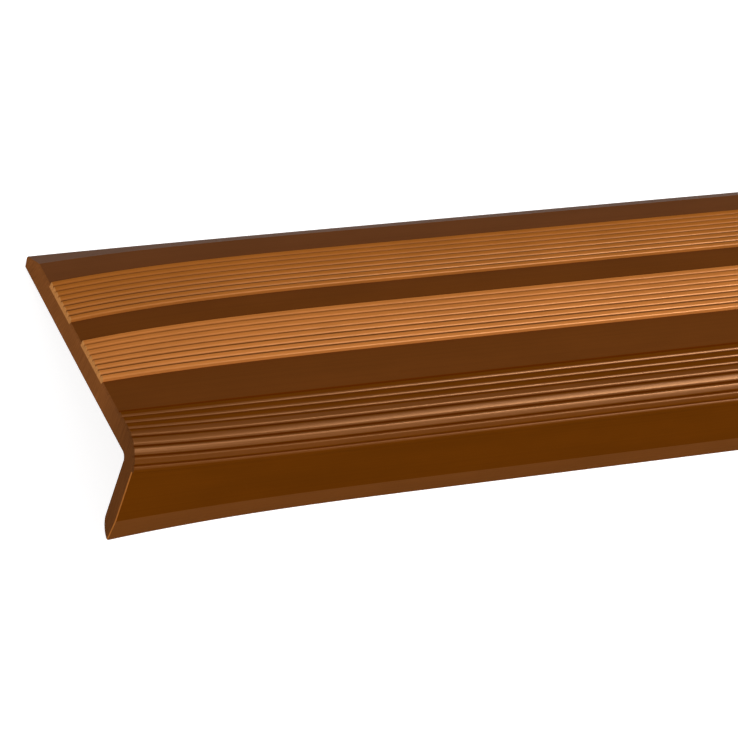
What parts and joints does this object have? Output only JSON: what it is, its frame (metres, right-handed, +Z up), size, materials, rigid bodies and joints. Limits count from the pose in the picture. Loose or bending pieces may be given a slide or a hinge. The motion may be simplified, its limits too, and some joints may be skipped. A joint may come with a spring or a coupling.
{
  "type": "anti-slip stair nosing",
  "caption": "Straight length of extruded soft PVC stair nosing: crowned tread with raised ribbed bands, ribbed round nose and a leaning leg for the riser.",
  "frame": {"origin": "on the floor under the middle of the strip, as it stands on its rear edge and its toe", "axes": "+X along the strip, +Z up, the nose and leg towards -Y"},
  "size_m": [0.6, 0.047, 0.0194],
  "materials": {
    "brown_pvc": "satin extruded soft PVC, brown, with lighter caramel ribs on the tread"
  },
  "bodies": {
    "root": {"nosing_strip": "brown_pvc"}
  },
  "joints": []
}
